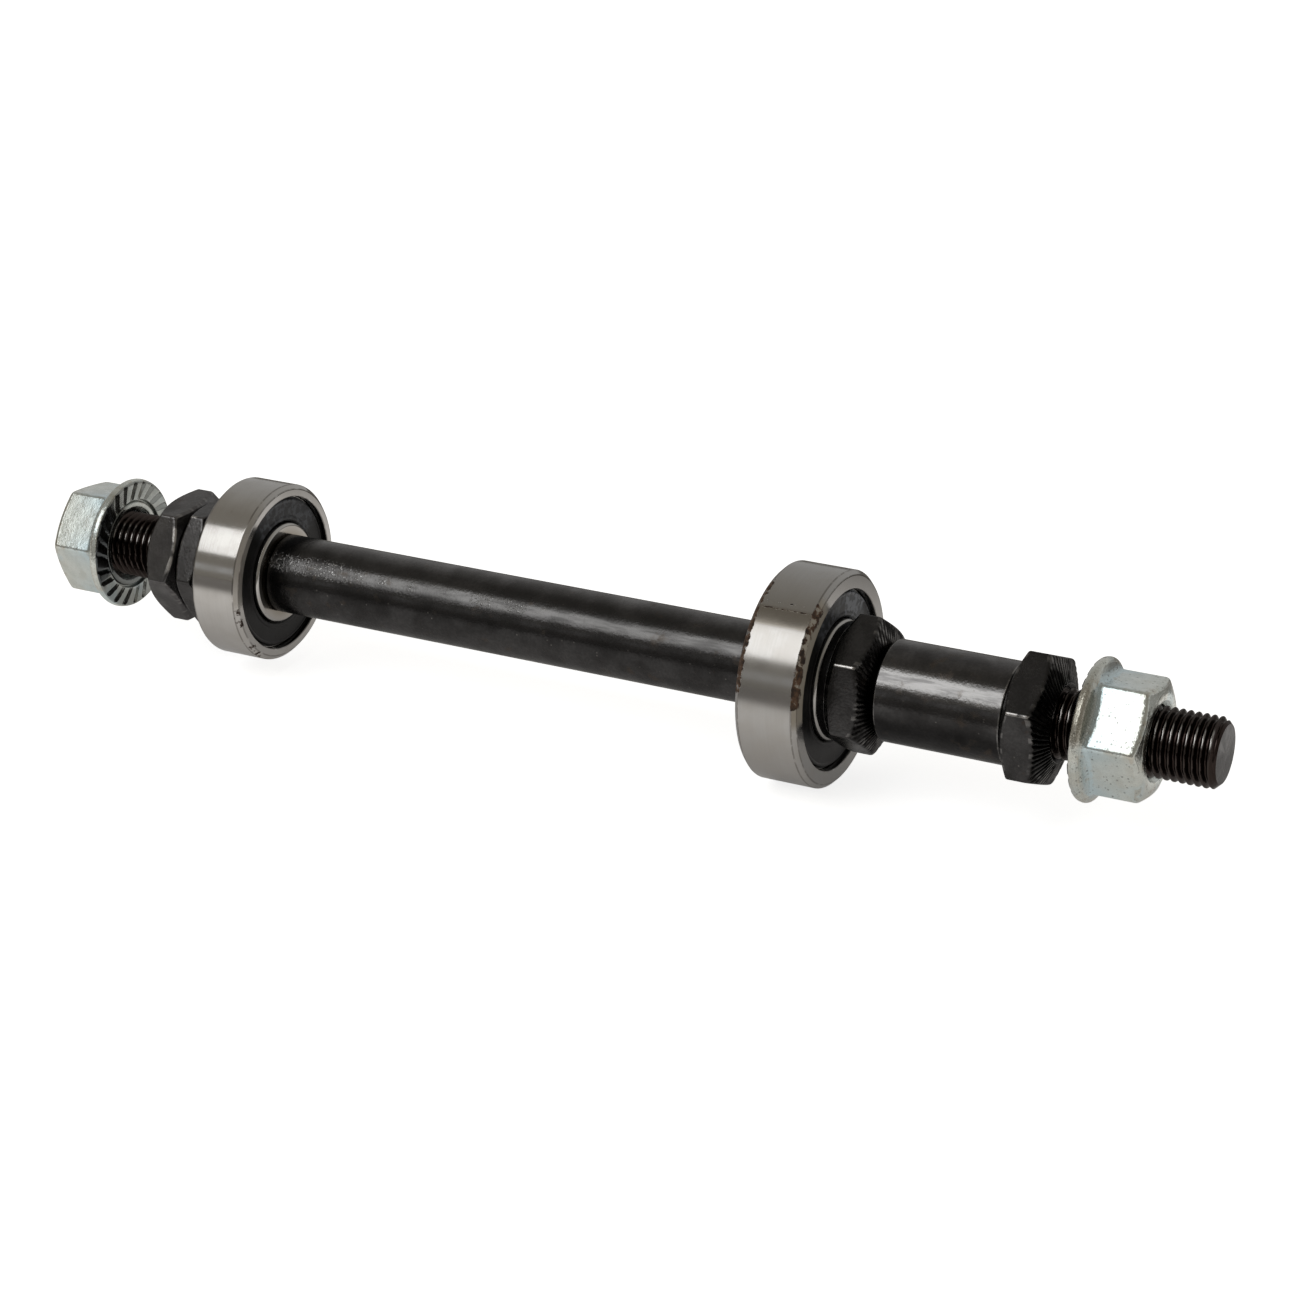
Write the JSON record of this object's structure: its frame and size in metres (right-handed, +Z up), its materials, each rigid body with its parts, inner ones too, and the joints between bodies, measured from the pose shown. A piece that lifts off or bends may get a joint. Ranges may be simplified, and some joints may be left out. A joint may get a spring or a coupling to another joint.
{
  "type": "bicycle hub axle",
  "caption": "Threaded hub axle with two sealed ball bearings, black locknuts, a spacer tube and flanged axle nuts.",
  "frame": {"origin": "middle of the axle's length, on its axis", "axes": "+X along the axle from the short stub to the long one, +Z up"},
  "size_m": [0.18, 0.03, 0.03],
  "materials": {
    "black_oxide": "oiled black oxide with a soft gloss",
    "ground_steel": "ground, with light rust at the edges",
    "zinc": "dull zinc plating, frosted by wear",
    "seal_rubber": "moulded black rubber",
    "cage_steel": "pressed strip",
    "ball_steel": "polished"
  },
  "bodies": {
    "root": {"axle": "black_oxide", "left_inner_ring": "ground_steel", "left_cone_nut": "black_oxide", "left_locknut": "black_oxide", "right_inner_ring": "ground_steel", "right_cone_nut": "black_oxide", "spacer": "black_oxide", "right_locknut": "black_oxide"},
    "left_axle_nut": {"left_axle_nut": "zinc"},
    "right_axle_nut": {"right_axle_nut": "zinc"},
    "left_outer": {"left_outer_ring": "ground_steel", "left_bearing_left_seal": "seal_rubber", "left_bearing_right_seal": "seal_rubber"},
    "left_cage": {"left_cage_left_half": "cage_steel", "left_cage_right_half": "cage_steel"},
    "left_ball_1": {"left_ball_1": "ball_steel"},
    "left_ball_2": {"left_ball_2": "ball_steel"},
    "left_ball_3": {"left_ball_3": "ball_steel"},
    "left_ball_4": {"left_ball_4": "ball_steel"},
    "left_ball_5": {"left_ball_5": "ball_steel"},
    "left_ball_6": {"left_ball_6": "ball_steel"},
    "left_ball_7": {"left_ball_7": "ball_steel"},
    "right_outer": {"right_outer_ring": "ground_steel", "right_bearing_left_seal": "seal_rubber", "right_bearing_right_seal": "seal_rubber"},
    "right_cage": {"right_cage_left_half": "cage_steel", "right_cage_right_half": "cage_steel"},
    "right_ball_1": {"right_ball_1": "ball_steel"},
    "right_ball_2": {"right_ball_2": "ball_steel"},
    "right_ball_3": {"right_ball_3": "ball_steel"},
    "right_ball_4": {"right_ball_4": "ball_steel"},
    "right_ball_5": {"right_ball_5": "ball_steel"},
    "right_ball_6": {"right_ball_6": "ball_steel"},
    "right_ball_7": {"right_ball_7": "ball_steel"},
    "right_ball_8": {"right_ball_8": "ball_steel"}
  },
  "joints": [
    {"name": "left_bearing_spin", "type": "hinge", "parent": "root", "child": "left_outer", "pos_m": [-0.0567, 0, 0], "axis": [1, 0, 0], "continuous": true},
    {"name": "left_cage_orbit", "type": "hinge", "parent": "root", "child": "left_cage", "pos_m": [-0.0567, 0, 0], "axis": [1, 0, 0], "continuous": true},
    {"name": "left_ball_1_roll", "type": "hinge", "parent": "left_cage", "child": "left_ball_1", "pos_m": [-0.0567, 0, 0.009], "axis": [1, 0, 0], "continuous": true},
    {"name": "left_ball_2_roll", "type": "hinge", "parent": "left_cage", "child": "left_ball_2", "pos_m": [-0.0567, -0.00704, 0.00561], "axis": [1, 0, 0], "continuous": true},
    {"name": "left_ball_3_roll", "type": "hinge", "parent": "left_cage", "child": "left_ball_3", "pos_m": [-0.0567, -0.00877, -0.002], "axis": [1, 0, 0], "continuous": true},
    {"name": "left_ball_4_roll", "type": "hinge", "parent": "left_cage", "child": "left_ball_4", "pos_m": [-0.0567, -0.00391, -0.00811], "axis": [1, 0, 0], "continuous": true},
    {"name": "left_ball_5_roll", "type": "hinge", "parent": "left_cage", "child": "left_ball_5", "pos_m": [-0.0567, 0.00391, -0.00811], "axis": [1, 0, 0], "continuous": true},
    {"name": "left_ball_6_roll", "type": "hinge", "parent": "left_cage", "child": "left_ball_6", "pos_m": [-0.0567, 0.00877, -0.002], "axis": [1, 0, 0], "continuous": true},
    {"name": "left_ball_7_roll", "type": "hinge", "parent": "left_cage", "child": "left_ball_7", "pos_m": [-0.0567, 0.00704, 0.00561], "axis": [1, 0, 0], "continuous": true},
    {"name": "right_bearing_spin", "type": "hinge", "parent": "root", "child": "right_outer", "pos_m": [0.0316, 0, 0], "axis": [1, 0, 0], "continuous": true},
    {"name": "right_cage_orbit", "type": "hinge", "parent": "root", "child": "right_cage", "pos_m": [0.0316, 0, 0], "axis": [1, 0, 0], "continuous": true},
    {"name": "right_ball_1_roll", "type": "hinge", "parent": "right_cage", "child": "right_ball_1", "pos_m": [0.0316, 0, 0.01], "axis": [1, 0, 0], "continuous": true},
    {"name": "right_ball_2_roll", "type": "hinge", "parent": "right_cage", "child": "right_ball_2", "pos_m": [0.0316, -0.00707, 0.00707], "axis": [1, 0, 0], "continuous": true},
    {"name": "right_ball_3_roll", "type": "hinge", "parent": "right_cage", "child": "right_ball_3", "pos_m": [0.0316, -0.01, 0], "axis": [1, 0, 0], "continuous": true},
    {"name": "right_ball_4_roll", "type": "hinge", "parent": "right_cage", "child": "right_ball_4", "pos_m": [0.0316, -0.00707, -0.00707], "axis": [1, 0, 0], "continuous": true},
    {"name": "right_ball_5_roll", "type": "hinge", "parent": "right_cage", "child": "right_ball_5", "pos_m": [0.0316, 0, -0.01], "axis": [1, 0, 0], "continuous": true},
    {"name": "right_ball_6_roll", "type": "hinge", "parent": "right_cage", "child": "right_ball_6", "pos_m": [0.0316, 0.00707, -0.00707], "axis": [1, 0, 0], "continuous": true},
    {"name": "right_ball_7_roll", "type": "hinge", "parent": "right_cage", "child": "right_ball_7", "pos_m": [0.0316, 0.01, 0], "axis": [1, 0, 0], "continuous": true},
    {"name": "right_ball_8_roll", "type": "hinge", "parent": "right_cage", "child": "right_ball_8", "pos_m": [0.0316, 0.00707, 0.00707], "axis": [1, 0, 0], "continuous": true},
    {"name": "left_axle_nut_travel", "type": "slide", "parent": "root", "child": "left_axle_nut", "axis": [1, 0, 0], "range_m": [-0.011, 0.0066]},
    {"name": "right_axle_nut_travel", "type": "slide", "parent": "root", "child": "right_axle_nut", "axis": [1, 0, 0], "range_m": [-0.0034, 0.0185]}
  ],
  "couplings": [
    {"joint": "left_cage_orbit", "follows": "left_bearing_spin", "ratio": 0.63229},
    {"joint": "left_ball_1_roll", "follows": "left_bearing_spin", "ratio": 1.7575},
    {"joint": "left_ball_2_roll", "follows": "left_bearing_spin", "ratio": 1.7575},
    {"joint": "left_ball_3_roll", "follows": "left_bearing_spin", "ratio": 1.7575},
    {"joint": "left_ball_4_roll", "follows": "left_bearing_spin", "ratio": 1.7575},
    {"joint": "left_ball_5_roll", "follows": "left_bearing_spin", "ratio": 1.7575},
    {"joint": "left_ball_6_roll", "follows": "left_bearing_spin", "ratio": 1.7575},
    {"joint": "left_ball_7_roll", "follows": "left_bearing_spin", "ratio": 1.7575},
    {"joint": "right_cage_orbit", "follows": "right_bearing_spin", "ratio": 0.61906},
    {"joint": "right_ball_1_roll", "follows": "right_bearing_spin", "ratio": 1.9807},
    {"joint": "right_ball_2_roll", "follows": "right_bearing_spin", "ratio": 1.9807},
    {"joint": "right_ball_3_roll", "follows": "right_bearing_spin", "ratio": 1.9807},
    {"joint": "right_ball_4_roll", "follows": "right_bearing_spin", "ratio": 1.9807},
    {"joint": "right_ball_5_roll", "follows": "right_bearing_spin", "ratio": 1.9807},
    {"joint": "right_ball_6_roll", "follows": "right_bearing_spin", "ratio": 1.9807},
    {"joint": "right_ball_7_roll", "follows": "right_bearing_spin", "ratio": 1.9807},
    {"joint": "right_ball_8_roll", "follows": "right_bearing_spin", "ratio": 1.9807}
  ]
}
